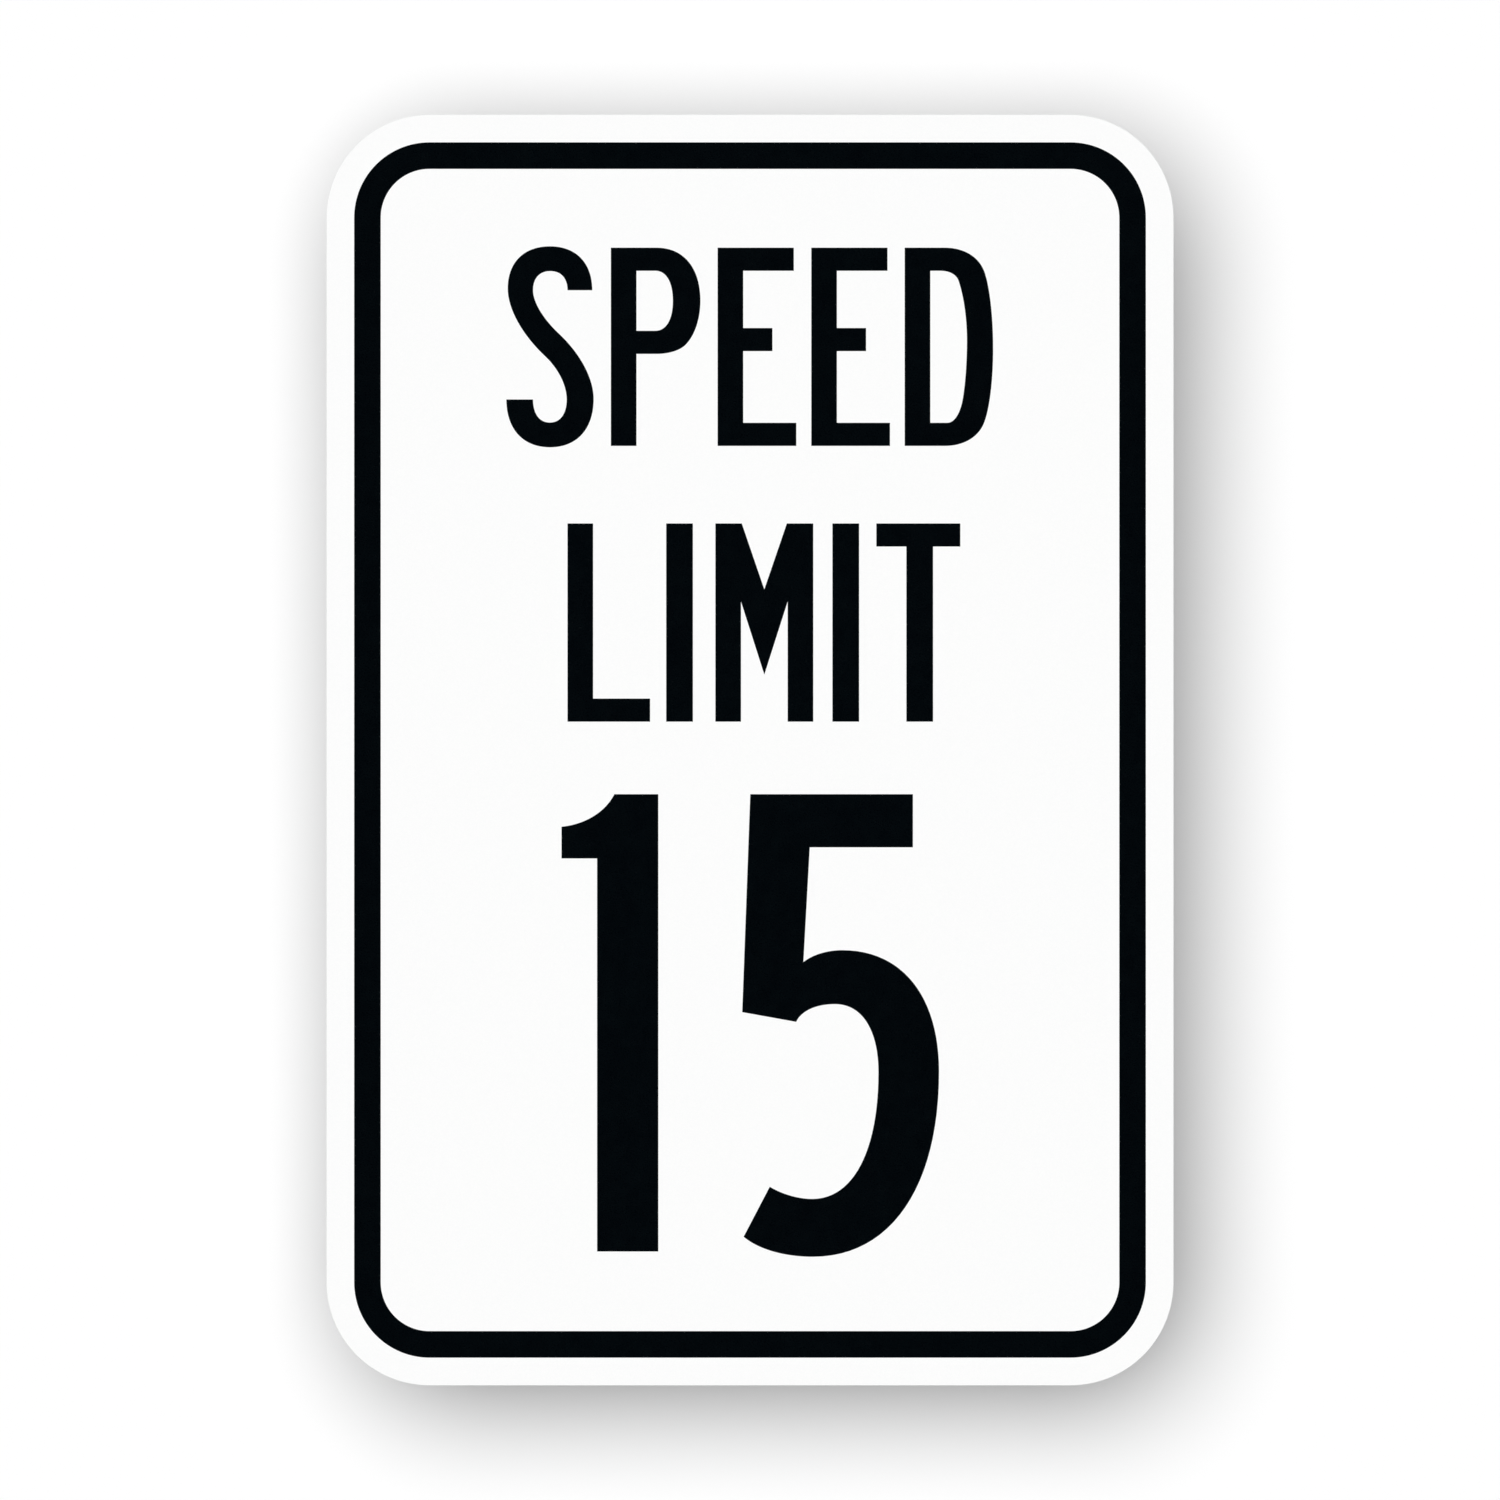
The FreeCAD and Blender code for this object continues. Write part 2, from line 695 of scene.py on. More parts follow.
class Kind(Enum):
    """Kinds of node group."""

    SHAPE = "GeometryNodeTree"
    FINISH = "ShaderNodeTree"


class Socket(Enum):
    """Kinds of socket on a node group."""

    SHAPE = "NodeSocketGeometry"
    NUMBER = "NodeSocketFloat"
    PLACE = "NodeSocketVector"
    MATERIAL = "NodeSocketMaterial"


Sockets = dict[str, Socket]


class Graph:
    """Adds, fills in and joins the nodes of one tree.

    COLUMN is how far apart the nodes lie in the node editor. BLENDED are the
    sockets of a Mix node's two colours, and BLEND is the one of their blend.
    """

    COLUMN = 200
    BLENDED = (6, 7)
    BLEND = 2

    def __init__(self, tree: bpy.types.NodeTree) -> None:
        """Work on a tree."""
        self.tree = tree

    def add(self, kind: str, inputs: Inputs | None = None, **settings: Any) -> bpy.types.Node:
        """Add a node to the right of those that are there.

        Args:
            kind: its type.
            inputs: what goes into its sockets, as fill takes it.
            settings: its own properties.

        Returns:
            The node.
        """
        node = self.tree.nodes.new(kind)
        node.location = (self.COLUMN * len(self.tree.nodes), 0)
        for name, value in settings.items():
            setattr(node, name, value)
        self.fill(node, inputs or {})
        return node

    def use(self, tree: bpy.types.NodeTree, inputs: Inputs) -> bpy.types.NodeOutputs:
        """Add a node group, filled in as fill does it, and give back its outputs."""
        kind = tree.bl_idname.replace("Tree", "Group")
        return self.add(kind, inputs, node_tree=tree).outputs

    def fill(self, node: bpy.types.Node, inputs: Inputs) -> None:
        """Fill in a node's sockets.

        Args:
            node: the node.
            inputs: for each socket, a plain value, another node's socket to
                join to it, or a list of such sockets.
        """
        for name, value in inputs.items():
            sources = value if isinstance(value, list) else [value]
            for source in sources:
                if isinstance(source, bpy.types.NodeSocket):
                    self.tree.links.new(source, node.inputs[name])
                else:
                    node.inputs[name].default_value = source

    def math(self, operation: str, *values: Any) -> bpy.types.NodeSocket:
        """Work out a number from sockets and plain numbers."""
        return self.add("ShaderNodeMath", dict(enumerate(values)), operation=operation).outputs[0]

    def vector(self, operation: str, *values: Any) -> bpy.types.NodeSocket:
        """Work out a vector from sockets and plain vectors."""
        return self.add("ShaderNodeVectorMath", dict(enumerate(values)), operation=operation).outputs[0]

    def noise(self, place: bpy.types.NodeSocket, **sockets: Any) -> bpy.types.NodeSocket:
        """Cloudy pattern, a metre across where no Scale is given."""
        clouds = {"Vector": place, "Scale": 1.0, **sockets}
        return self.add("ShaderNodeTexNoise", clouds).outputs[0]

    def ramp(
        self,
        value: Any,
        start: float,
        end: float,
        low: Any = 0.0,
        high: Any = 1.0,
        smooth: bool = False,
    ) -> bpy.types.NodeSocket:
        """Follow a value with another that stays between two levels.

        Args:
            value: what is followed.
            start: the value at which the result is low.
            end: the value at which the result is high.
            low: level on the start's side.
            high: level on the end's side.
            smooth: whether the result leaves and reaches its levels gently.

        Returns:
            The result.
        """
        inputs = {"Value": value, "From Min": start, "From Max": end, "To Min": low, "To Max": high}
        way = "SMOOTHSTEP" if smooth else "LINEAR"
        return self.add("ShaderNodeMapRange", inputs, interpolation_type=way).outputs["Result"]

    def tint(self, share: bpy.types.NodeSocket, one: Any, other: Any) -> bpy.types.NodeSocket:
        """Blend one colour with another, of which the share shows."""
        colours = dict(zip(self.BLENDED, (one, other)))
        return self.add("ShaderNodeMix", {0: share, **colours}, data_type="RGBA").outputs[self.BLEND]

    def axes(self, place: bpy.types.NodeSocket) -> bpy.types.NodeOutputs:
        """Split a place into its X, Y and Z."""
        return self.add("ShaderNodeSeparateXYZ", {0: place}).outputs


class Group(Graph):
    """Node group under construction."""

    def __init__(self, name: str, kind: Kind, inputs: Sockets, outputs: Sockets) -> None:
        """Make the group and its sockets.

        Args:
            name: the group's name.
            kind: what the group makes.
            inputs: name and kind of each input.
            outputs: name and kind of each output.
        """
        super().__init__(bpy.data.node_groups.new(name, kind.value))
        for direction, sockets in (("INPUT", inputs), ("OUTPUT", outputs)):
            for label, socket in sockets.items():
                self.tree.interface.new_socket(label, in_out=direction, socket_type=socket.value)
        self.source = self.add("NodeGroupInput")

    def __getitem__(self, name: str) -> bpy.types.NodeSocket:
        """Input of the group, as its nodes read it."""
        return self.source.outputs[name]

    def give(self, **outputs: bpy.types.NodeSocket) -> bpy.types.NodeTree:
        """Join what the group gives out, and close it."""
        self.add("NodeGroupOutput", outputs)
        return self.tree


class Forms:
    """Geometry node trees that the pieces grow from, each built once.

    CORNER_STEPS is how many straight pieces stand for the arc of one corner.
    Points nearer than WELD become one. Edges that bend by more than RIM_ANGLE
    are rims.
    """

    CORNER_STEPS = 32
    WELD = 1 * MICRON
    RIM_ANGLE = math.radians(60)

    def __init__(self) -> None:
        """Build the trees."""
        self._outline = self._build_outline()
        self._layer = self._build_layer()
        self.sheet = self._build_sheet()
        self.band = self._build_band()
        self.letters = self._build_letters()

    def _build_outline(self) -> bpy.types.NodeTree:
        """Rectangle with rounded corners, drawn flat.

        Returns:
            A group that gives the outline.
        """
        sizes = dict.fromkeys(Outline.SIZES, Socket.NUMBER)
        group = Group("rounded_outline", Kind.SHAPE, sizes, {"Outline": Socket.SHAPE})
        sides = {name: group[name] for name in ("Width", "Height")}
        box = group.add("GeometryNodeCurvePrimitiveQuadrilateral", sides)
        corners = {"Curve": box.outputs[0], "Count": self.CORNER_STEPS, "Radius": group["Radius"]}
        rounded = group.add("GeometryNodeFilletCurve", corners, mode="POLY")
        return group.give(Outline=rounded.outputs[0])

    def _build_layer(self) -> bpy.types.NodeTree:
        """Closed layer, raised from flat faces and stood upright.

        Seat is how far in front of the sign's back face the layer starts.

        Returns:
            A group that gives the layer.
        """
        inputs = {"Faces": Socket.SHAPE, **dict.fromkeys(Layer.SIZES, Socket.NUMBER)}
        group = Group("upright_layer", Kind.SHAPE, inputs, {"Layer": Socket.SHAPE})
        up = {"Mesh": group["Faces"], "Offset Scale": group["Thickness"], "Individual": False}
        raised = group.add("GeometryNodeExtrudeMesh", up, mode="FACES").outputs[0]
        back = group.add("GeometryNodeFlipFaces", {"Mesh": group["Faces"]}).outputs[0]
        both = group.add("GeometryNodeJoinGeometry", {"Geometry": [raised, back]}).outputs[0]
        closed = group.add("GeometryNodeMergeByDistance", {"Geometry": both, "Distance": self.WELD})
        forward = group.math("MULTIPLY", group["Seat"], -1.0)
        place = group.add("ShaderNodeCombineXYZ", {"Y": forward}).outputs[0]
        stand = {"Geometry": closed.outputs[0], "Translation": place, "Rotation": UPRIGHT}
        return group.give(Layer=group.add("GeometryNodeTransform", stand).outputs[0])

    def _open(self, name: str, shape: str, inputs: Sockets) -> Group:
        """Start a piece's tree, whose inputs end in its place in depth and its material."""
        last = {**dict.fromkeys(Layer.SIZES, Socket.NUMBER), "Material": Socket.MATERIAL}
        return Group(name, Kind.SHAPE, {**inputs, **last}, {shape: Socket.SHAPE})

    def _raise(self, group: Group, outlines: bpy.types.NodeSocket, fill: str) -> bpy.types.NodeSocket:
        """Fill outlines and raise them to a layer.

        Args:
            group: the piece's tree.
            outlines: closed curves, drawn flat.
            fill: NGONS for one face, or TRIANGLES where outlines hold holes.

        Returns:
            The layer.
        """
        faces = group.add("GeometryNodeFillCurve", {"Curve": outlines}, mode=fill).outputs[0]
        depth = {name: group[name] for name in Layer.SIZES}
        return group.use(self._layer, {"Faces": faces, **depth})["Layer"]

    def _close(self, group: Group, shape: str, built: bpy.types.NodeSocket) -> bpy.types.NodeTree:
        """End a piece's tree.

        Args:
            group: the tree.
            shape: name of what it gives out.
            built: what it has built.

        Returns:
            The tree, which gives real geometry in the piece's material.
        """
        real = group.add("GeometryNodeRealizeInstances", {"Geometry": built}).outputs[0]
        coat = {"Geometry": real, "Material": group["Material"]}
        return group.give(**{shape: group.add("GeometryNodeSetMaterial", coat).outputs[0]})

    def _build_sheet(self) -> bpy.types.NodeTree:
        """Sheet with rounded corners, one of whose rims is marked for a bevel.

        Back Rim is 1 to mark the back one and 0 to mark the front one.

        Returns:
            A tree that gives the sheet.
        """
        numbers = dict.fromkeys((*Outline.SIZES, "Back Rim"), Socket.NUMBER)
        group = self._open("rounded_sheet", "Sheet", numbers)
        sizes = {name: group[name] for name in Outline.SIZES}
        outline = group.use(self._outline, sizes)["Outline"]
        sheet = self._raise(group, outline, "NGONS")

        bend = group.add("GeometryNodeInputMeshEdgeAngle").outputs["Unsigned Angle"]
        on_rim = group.math("GREATER_THAN", bend, self.RIM_ANGLE)
        depth = group.axes(group.add("GeometryNodeInputPosition").outputs[0])["Y"]
        half = group.math("MULTIPLY", group["Thickness"], 0.5)
        middle = group.math("ADD", group["Seat"], half)
        at_back = group.math("GREATER_THAN", group.math("ADD", depth, middle), 0.0)
        this_rim = group.math("COMPARE", at_back, group["Back Rim"], 0.5)
        mark = {
            "Geometry": sheet,
            "Name": "bevel_weight_edge",
            "Value": group.math("MULTIPLY", on_rim, this_rim),
        }
        marked = group.add("GeometryNodeStoreNamedAttribute", mark, data_type="FLOAT", domain="EDGE")
        return self._close(group, "Sheet", marked.outputs[0])

    def _build_band(self) -> bpy.types.NodeTree:
        """Band that runs round inside an outline, its corner arcs on the same centres.

        Returns:
            A tree that gives the band.
        """
        numbers = dict.fromkeys((*Outline.SIZES, "Band Width"), Socket.NUMBER)
        group = self._open("rounded_band", "Band", numbers)
        outer = {name: group[name] for name in Outline.SIZES}
        both_sides = group.math("MULTIPLY", group["Band Width"], 2.0)
        loss = {"Width": both_sides, "Height": both_sides, "Radius": group["Band Width"]}
        inner = {name: group.math("SUBTRACT", group[name], loss[name]) for name in Outline.SIZES}
        outlines = [group.use(self._outline, line)["Outline"] for line in (outer, inner)]
        both = group.add("GeometryNodeJoinGeometry", {"Geometry": outlines}).outputs[0]
        return self._close(group, "Band", self._raise(group, both, "TRIANGLES"))

    def _build_letters(self) -> bpy.types.NodeTree:
        """Letters, filled between the outlines of the curve that the tree sits on."""
        group = self._open("printed_letters", "Letters", {"Outlines": Socket.SHAPE})
        return self._close(group, "Letters", self._raise(group, group["Outlines"], "TRIANGLES"))


def grow(name: str, start: bpy.types.ID, tree: bpy.types.NodeTree, inputs: Inputs) -> bpy.types.Object:
    """Put a geometry node tree on a new object.

    Args:
        name: the object's name.
        start: mesh or curve that the tree starts from.
        tree: the tree.
        inputs: values of its inputs.

    Returns:
        The object.
    """
    seed = bpy.data.objects.new(name, start)
    bpy.context.scene.collection.objects.link(seed)
    modifier = seed.modifiers.new(tree.name, "NODES")
    modifier.node_group = tree
    for item in tree.interface.items_tree:
        if item.in_out == "INPUT" and item.name in inputs:
            modifier[item.identifier] = inputs[item.name]
    return seed


def settle(seed: bpy.types.Object) -> bpy.types.Object:
    """Turn an object and its modifiers into a piece with a plain mesh.

    The flat faces stay flat and the rims between them are shaded smooth.

    Args:
        seed: the object, which is removed.

    Returns:
        The piece, under the same name.
    """
    name, start = seed.name, seed.data
    evaluated = seed.evaluated_get(bpy.context.evaluated_depsgraph_get())
    mesh = bpy.data.meshes.new_from_object(evaluated)
    bpy.data.objects.remove(seed)
    if start.users == 0:
        bpy.data.batch_remove([start])
    mesh.name = name
    for face in mesh.polygons:
        face.use_smooth = abs(face.normal.y) < FLAT
    piece = bpy.data.objects.new(name, mesh)
    bpy.context.scene.collection.objects.link(piece)
    return piece


def hand_over(piece: bpy.types.Object, slot: Slot, node: PackedNode | None = None) -> None:
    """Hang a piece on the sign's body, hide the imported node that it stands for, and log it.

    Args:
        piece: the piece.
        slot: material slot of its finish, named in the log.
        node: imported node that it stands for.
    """
    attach(piece, "root")
    if node is not None:
        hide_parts(node.value)
    log.info("%s: %d faces, finish %s", piece.name, len(piece.data.polygons), slot.value)


# Finishes.


class Effects:
    """Shader node groups that several finishes use, each built once.

    Noise of GRAIN_LOW is no grain and noise of GRAIN_HIGH is full grain. A smudge
    starts at noise of SMUDGE_RIM and is full at SMUDGE_MIDDLE.
    """

    GRAIN_DETAIL = 6.0
    GRAIN_ROUGHNESS = 0.72
    GRAIN_LOW = 0.34
    GRAIN_HIGH = 0.66
    SMUDGE_DETAIL = 6.0
    SMUDGE_SWIRL = 0.8
    SMUDGE_RIM = 0.52
    SMUDGE_MIDDLE = 0.68

    def __init__(self) -> None:
        """Build the groups."""
        self.inside = self._build_inside()
        self.grain = self._build_grain()
        self.smudges = self._build_smudges()

    def _build_inside(self) -> bpy.types.NodeTree:
        """Distance from an upright rounded rectangle to a place inside it.

        Returns:
            A group that gives the distance in metres.
        """
        inputs = {"Place": Socket.PLACE, **dict.fromkeys(Outline.SIZES, Socket.NUMBER)}
        group = Group("distance_inside", Kind.FINISH, inputs, {"Distance": Socket.NUMBER})
        place = group.axes(group["Place"])
        past = []
        for axis, size in (("X", "Width"), ("Z", "Height")):
            half = group.math("MULTIPLY", group[size], 0.5)
            centre = group.math("SUBTRACT", half, group["Radius"])
            past.append(group.math("SUBTRACT", group.math("ABSOLUTE", place[axis]), centre))
        outer = [group.math("MAXIMUM", length, 0.0) for length in past]
        squares = [group.math("MULTIPLY", length, length) for length in outer]
        beyond = group.math("SQRT", group.math("ADD", *squares))
        within = group.math("MINIMUM", group.math("MAXIMUM", *past), 0.0)
        reach = group.math("ADD", beyond, within)
        return group.give(Distance=group.math("SUBTRACT", group["Radius"], reach))

    def _build_grain(self) -> bpy.types.NodeTree:
        """Specks of the given size along X, Y and Z, with finer ones over them.

        Returns:
            A group that gives the grain, from 0 to 1.
        """
        inputs = {"Place": Socket.PLACE, "Size": Socket.PLACE}
        group = Group("surface_grain", Kind.FINISH, inputs, {"Grain": Socket.NUMBER})
        place = group.vector("DIVIDE", group["Place"], group["Size"])
        specks = group.noise(place, Detail=self.GRAIN_DETAIL, Roughness=self.GRAIN_ROUGHNESS)
        return group.give(Grain=group.ramp(specks, self.GRAIN_LOW, self.GRAIN_HIGH))

    def _build_smudges(self) -> bpy.types.NodeTree:
        """Soft uneven smudges, as hands leave them.

        Returns:
            A group that gives the smudges, from 0 to 1.
        """
        inputs = {"Place": Socket.PLACE, "Size": Socket.NUMBER}
        group = Group("handling_smudges", Kind.FINISH, inputs, {"Smudges": Socket.NUMBER})
        swirls = {
            "Scale": group.math("DIVIDE", 1.0, group["Size"]),
            "Detail": self.SMUDGE_DETAIL,
            "Distortion": self.SMUDGE_SWIRL,
        }
        blotches = group.noise(group["Place"], **swirls)
        smudges = group.ramp(blotches, self.SMUDGE_RIM, self.SMUDGE_MIDDLE, smooth=True)
        return group.give(Smudges=smudges)


class Surface(Graph):
    """Nodes of one material, with the effects that the finishes share."""

    def __init__(self, material: bpy.types.Material, effects: Effects) -> None:
        """Start with the place on the piece.

        Args:
            material: the material.
            effects: groups that the finishes share.
        """
        super().__init__(material.node_tree)
        self.effects = effects
        self.place = self.add("ShaderNodeTexCoord").outputs["Object"]

    def grain(self, size: Size) -> bpy.types.NodeSocket:
        """Specks or streaks of a size, from 0 to 1."""
        return self.use(self.effects.grain, {"Place": self.place, "Size": size})["Grain"]

    def smudges(self, size: float) -> bpy.types.NodeSocket:
        """Smudges of a size, from 0 to 1."""
        return self.use(self.effects.smudges, {"Place": self.place, "Size": size})["Smudges"]

    def inside(self, outline: Outline) -> bpy.types.NodeSocket:
        """Distance from an outline to the place inside it."""
        return self.use(self.effects.inside, {"Place": self.place, **outline.inputs()})["Distance"]

    def relief(self, *layers: tuple[bpy.types.NodeSocket, float]) -> bpy.types.NodeSocket:
        """Turn heights into a bumpy normal.

        Args:
            layers: patterns from 0 to 1, each with its height in metres.

        Returns:
            The normal.
        """
        height: Any = 0.0
        for pattern, depth in layers:
            height = self.math("MULTIPLY_ADD", pattern, depth, height)
        return self.add("ShaderNodeBump", {"Height": height, "Distance": 1.0}).outputs[0]


class Finish(ABC):
    """Finish of one material slot."""

    slot: Slot

    @abstractmethod
    def paint(self, surface: Surface) -> Inputs:
        """Add the nodes that vary the finish over the surface.

        Args:
            surface: the material's nodes.

        Returns:
            What goes into the surface shader.
        """

    def material(self, effects: Effects) -> bpy.types.Material:
        """Make the finish's material.

        Args:
            effects: groups that the finishes share.

        Returns:
            The material.
        """
        material = bpy.data.materials.new(self.slot.value)
        material.use_nodes = True
        surface = Surface(material, effects)
        surface.fill(surface.tree.nodes["Principled BSDF"], self.paint(surface))
        return material


@dataclass(frozen=True)
class MillAluminium(Finish):
    """Bare rolled aluminium, whose grain runs up the sign, with a punched edge.

    Its grain is of fine streaks and broad bands, of which the bands are a share.
    Noise from scratch_start up is a scratch, and scratch_turns are the degrees by
    which the scratches lean. Handling has rubbed the sheet pale near its outline.
    burnished_to and torn_from are shares of its thickness, from the back.
    """

    outline: Outline
    thickness: float
    slot: Slot = Slot.ALUMINIUM
    pale: Colour = (0.85, 0.86, 0.87, 1.0)
    dark: Colour = (0.67, 0.68, 0.695, 1.0)
    torn: Colour = (0.58, 0.59, 0.60, 1.0)
    streak: Size = (2 * MM, 2 * MM, 220 * MM)
    band: Size = (70 * MM, 70 * MM, 2.5)
    band_share: float = 0.45
    streak_depth: float = 3 * MICRON
    smooth: float = 0.22
    rough: float = 0.42
    smudge_size: float = 45 * MM
    smudge_dulling: float = 0.02
    scratch_turns: tuple[float, ...] = (7.0, -19.0, 58.0)
    scratch: Size = (0.45 * MM, 1.0, 60 * MM)
    scratch_start: float = 0.74
    scratch_full: float = 0.82
    scratch_depth: float = 14 * MICRON
    rub_reach: float = 4 * MM
    rub_share: float = 0.5
    edge_reach: float = 0.1 * MM
    burnished_to: float = 0.30
    torn_from: float = 0.40
    torn_roughness: float = 0.55
    chip: Size = (0.15 * MM, 0.5 * MM, 0.15 * MM)
    chip_depth: float = 20 * MICRON

    def paint(self, surface: Surface) -> Inputs:
        """Add rolled streaks, smudges, scratches and the punched edge.

        Args:
            surface: the material's nodes.

        Returns:
            What goes into the surface shader.
        """
        streaks = surface.grain(self.streak)
        bands = surface.grain(self.band)
        rolled = surface.ramp(self.band_share, 0.0, 1.0, streaks, bands)
        rim = surface.inside(self.outline)
        edge = surface.ramp(rim, self.edge_reach, 0.0)
        torn = self._torn(surface, edge)

        rubbed = surface.ramp(rim, self.rub_reach, 0.0, high=self.rub_share, smooth=True)
        face = surface.tint(rubbed, surface.tint(rolled, self.dark, self.pale), self.pale)
        level = surface.ramp(rolled, 0.0, 1.0, self.rough, self.smooth)
        smudges = surface.smudges(self.smudge_size)
        dulled = surface.math("MULTIPLY_ADD", smudges, self.smudge_dulling, level)
        chips = surface.math("MULTIPLY", surface.grain(self.chip), torn)
        return {
            "Base Color": surface.tint(torn, face, self.torn),
            "Metallic": 1.0,
            "Roughness": surface.ramp(torn, 0.0, 1.0, dulled, self.torn_roughness),
            "Normal": surface.relief(
                (streaks, self.streak_depth),
                (self._scratches(surface, edge), -self.scratch_depth),
                (chips, self.chip_depth),
            ),
        }

    def _torn(self, surface: Surface, edge: bpy.types.NodeSocket) -> bpy.types.NodeSocket:
        """Torn front of the edge, from 0 to 1. The punch burnished the back of it, which is 0."""
        depth = surface.math("MULTIPLY", surface.axes(surface.place)["Y"], -1.0 / self.thickness)
        return surface.math("MULTIPLY", edge, surface.ramp(depth, self.burnished_to, self.torn_from))

    def _scratches(self, surface: Surface, edge: bpy.types.NodeSocket) -> bpy.types.NodeSocket:
        """Sparse scratches in a few directions, deepest half-way along, that end at the edge.

        Args:
            surface: the material's nodes.
            edge: 1 on the sheet's edge, and 0 on its flat faces.

        Returns:
            The scratches, from 0 to 1.
        """
        deepest: Any = 0.0
        for turn in self.scratch_turns:
            way = {"Vector": surface.place, "Angle": math.radians(turn)}
            turned = surface.add("ShaderNodeVectorRotate", way, rotation_type="Y_AXIS").outputs[0]
            drawn_out = surface.noise(surface.vector("DIVIDE", turned, self.scratch), Detail=0.0)
            lines = surface.ramp(drawn_out, self.scratch_start, self.scratch_full)
            deepest = surface.math("MAXIMUM", lines, deepest)
        return surface.math("MULTIPLY", deepest, surface.math("SUBTRACT", 1.0, edge))


@dataclass(frozen=True)
class BeadedFilm(Finish):
    """White film with glass beads under a clear face, semi-gloss. The beads' specks carry painted
    sparkle and painted shade in their colour.
    """

    outline: Outline
    slot: Slot = Slot.FILM
    # The next two colours are the white as lit and as shaded beads: painted sparkle and painted shade.
    painted_bead_sparkle: Colour = (0.955, 0.955, 0.95, 1.0)
    painted_bead_shade: Colour = (0.915, 0.92, 0.92, 1.0)
    cut: Colour = (0.80, 0.81, 0.81, 1.0)
    cut_reach: float = 0.25 * MM
    bead: Size = (0.4 * MM, 0.4 * MM, 0.4 * MM)
    bead_depth: float = 3 * MICRON
    peel: Size = (5 * MM, 5 * MM, 5 * MM)
    peel_depth: float = 8 * MICRON
    smooth: float = 0.36
    rough: float = 0.46
    smudge_size: float = 90 * MM
    smudge_dulling: float = 0.05
    coat_weight: float = 0.35
    coat_roughness: float = 0.16

    def paint(self, surface: Surface) -> Inputs:
        """Add the beads, with painted sparkle and painted shade in their colour, the face's slight
        waves, and the greyer cut edge.

        Args:
            surface: the material's nodes.

        Returns:
            What goes into the surface shader.
        """
        beads = surface.grain(self.bead)
        peel = surface.grain(self.peel)
        cut = surface.ramp(surface.inside(self.outline), self.cut_reach, 0.0)
        level = surface.ramp(beads, 0.0, 1.0, self.rough, self.smooth)
        smudges = surface.smudges(self.smudge_size)
        return {
            # Base colour: bead grain spreads painted sparkle and painted shade at random, then the cut
            # edge turns greyer.
            "Base Color": surface.tint(cut, surface.tint(beads, self.painted_bead_shade, self.painted_bead_sparkle), self.cut),
            "Roughness": surface.math("MULTIPLY_ADD", smudges, self.smudge_dulling, level),
            "Normal": surface.relief((beads, self.bead_depth), (peel, self.peel_depth)),
            "Coat Weight": self.coat_weight,
            "Coat Roughness": self.coat_roughness,
        }


@dataclass(frozen=True)
class ScreenInk(Finish):
    """Black ink, screened on the film, satin."""

    slot: Slot = Slot.PRINT
    deep: Colour = (0.0002, 0.0010, 0.0018, 1.0)
    thin: Colour = (0.0006, 0.0018, 0.0026, 1.0)
    tooth: Size = (0.4 * MM, 0.4 * MM, 0.4 * MM)
    tooth_depth: float = 2 * MICRON
    mottle: Size = (6 * MM, 6 * MM, 6 * MM)
    mottle_depth: float = 10 * MICRON
    smooth: float = 0.24
    rough: float = 0.36
    specular: float = 0.20

    def paint(self, surface: Surface) -> Inputs:
        """Add the tooth that the screen leaves, and a slight mottle.

        Args:
            surface: the material's nodes.

        Returns:
            What goes into the surface shader.
        """
        tooth = surface.grain(self.tooth)
        mottle = surface.grain(self.mottle)
        return {
            "Base Color": surface.tint(mottle, self.deep, self.thin),
            "Roughness": surface.ramp(tooth, 0.0, 1.0, self.smooth, self.rough),
            "Normal": surface.relief((tooth, self.tooth_depth), (mottle, self.mottle_depth)),
            "Specular IOR Level": self.specular,
        }


# Pieces.


@dataclass(frozen=True)
class Rim:
    """Rim of a sheet, rounded off in a number of steps."""

    at_back: bool
    radius: float
    steps: int


@dataclass
class Part(ABC):
    """Sub-assembly of the sign."""

    forms: Forms
    effects: Effects

    @abstractmethod
    def build(self) -> list[bpy.types.Object]:
        """Make it.

        Returns:
            Its pieces.
        """

    def cut_sheet(self, name: str, layer: Layer, rim: Rim, finish: Finish) -> bpy.types.Object:
        """Make a sheet with rounded corners, one of whose rims is rounded off.

        Args:
            name: the piece's name.
            layer: its sizes.
            rim: the rim that is rounded off.
            finish: its finish.

        Returns:
            The piece.
        """
        inputs = {
            **layer.outline.inputs(),
            **layer.inputs(),
            "Back Rim": float(rim.at_back),
            "Material": finish.material(self.effects),
        }
        seed = grow(name, bpy.data.meshes.new(name), self.forms.sheet, inputs)
        bevel = seed.modifiers.new("rim", "BEVEL")
        bevel.limit_method = "WEIGHT"
        bevel.width = rim.radius
        bevel.segments = rim.steps
        return settle(seed)


@dataclass
class AluminiumSheet(Part):
    """Punched blank of the sign, deburred round its back."""

    layer: Layer = field(default_factory=lambda: Layer.measured(PackedNode.BLANK))
    rim: Rim = Rim(at_back=True, radius=0.3 * MM, steps=4)

    def build(self) -> list[bpy.types.Object]:
        """Make the sheet.

        Returns:
            The piece.
        """
        finish = MillAluminium(self.layer.outline, self.layer.thickness)
        sheet = self.cut_sheet("aluminium_sheet", self.layer, self.rim, finish)
        # Otherwise its bright back would thin the sign's shadow on the wall.
        sheet.visible_diffuse = False
        hand_over(sheet, finish.slot, PackedNode.BLANK)
        return [sheet]


